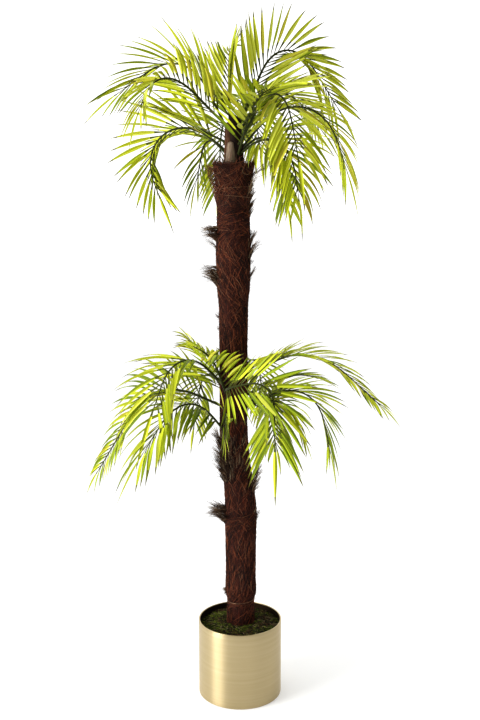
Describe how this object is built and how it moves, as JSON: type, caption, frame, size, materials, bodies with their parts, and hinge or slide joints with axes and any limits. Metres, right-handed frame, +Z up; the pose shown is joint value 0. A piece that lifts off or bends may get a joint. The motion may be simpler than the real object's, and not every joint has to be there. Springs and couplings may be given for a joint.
{
  "type": "artificial two-tier palm in a pot",
  "caption": "Free-standing artificial palm: fibre-wrapped trunk leaning slightly, an upper and a lower crown of arching feathery fronds, in a plain round metal pot filled with moss.",
  "frame": {"origin": "centre of the pot's flat underside", "axes": "+Z up along the height, +X to the viewer's right in the picture, -Y towards the viewer"},
  "size_m": [0.8167, 0.6299, 1.8318],
  "materials": {
    "pot_metal": "pale brushed brass, satin",
    "moss": "matt dried moss over a cast core",
    "coir": "matt coarse palm fibre",
    "post": "dull grey-brown",
    "fibre_tufts": "loose matt palm fibre",
    "fronds": "yellow-green, slightly glossy"
  },
  "bodies": {
    "root": {"pot": "pot_metal", "pot_fill": "moss", "trunk": "coir", "crown_post": "post", "fibre_rim": "fibre_tufts", "fibre_tuft_1": "fibre_tufts", "fibre_tuft_2": "fibre_tufts", "fibre_tuft_3": "fibre_tufts", "fibre_tuft_4": "fibre_tufts", "fibre_tuft_5": "fibre_tufts", "fibre_tuft_6": "fibre_tufts", "lower_frond_01_inner": "fronds", "lower_frond_01_outer": "fronds", "lower_frond_02_inner": "fronds", "lower_frond_02_outer": "fronds", "lower_frond_03_inner": "fronds", "lower_frond_03_outer": "fronds", "lower_frond_04_inner": "fronds", "lower_frond_04_outer": "fronds", "lower_frond_05_inner": "fronds", "lower_frond_05_outer": "fronds", "lower_frond_06_inner": "fronds", "lower_frond_06_outer": "fronds", "lower_frond_07": "fronds", "lower_frond_08": "fronds", "lower_frond_09": "fronds", "lower_frond_10": "fronds", "lower_frond_11": "fronds", "lower_frond_12_inner": "fronds", "lower_frond_12_outer": "fronds", "lower_frond_13_inner": "fronds", "lower_frond_13_outer": "fronds", "lower_frond_14_inner": "fronds", "lower_frond_14_outer": "fronds", "upper_frond_01_inner": "fronds", "upper_frond_01_outer": "fronds", "upper_frond_02_inner": "fronds", "upper_frond_02_outer": "fronds", "upper_frond_03_inner": "fronds", "upper_frond_03_outer": "fronds", "upper_frond_04": "fronds", "upper_frond_05_inner": "fronds", "upper_frond_05_outer": "fronds", "upper_frond_06_inner": "fronds", "upper_frond_06_outer": "fronds", "upper_frond_07_inner": "fronds", "upper_frond_07_outer": "fronds", "upper_frond_08_inner": "fronds", "upper_frond_08_outer": "fronds", "upper_frond_09": "fronds", "upper_frond_10": "fronds", "upper_frond_11_inner": "fronds", "upper_frond_11_outer": "fronds", "upper_frond_12_inner": "fronds", "upper_frond_12_outer": "fronds", "upper_frond_13_inner": "fronds", "upper_frond_13_outer": "fronds", "upper_frond_14_inner": "fronds", "upper_frond_14_outer": "fronds", "upper_frond_15": "fronds"}
  },
  "joints": []
}
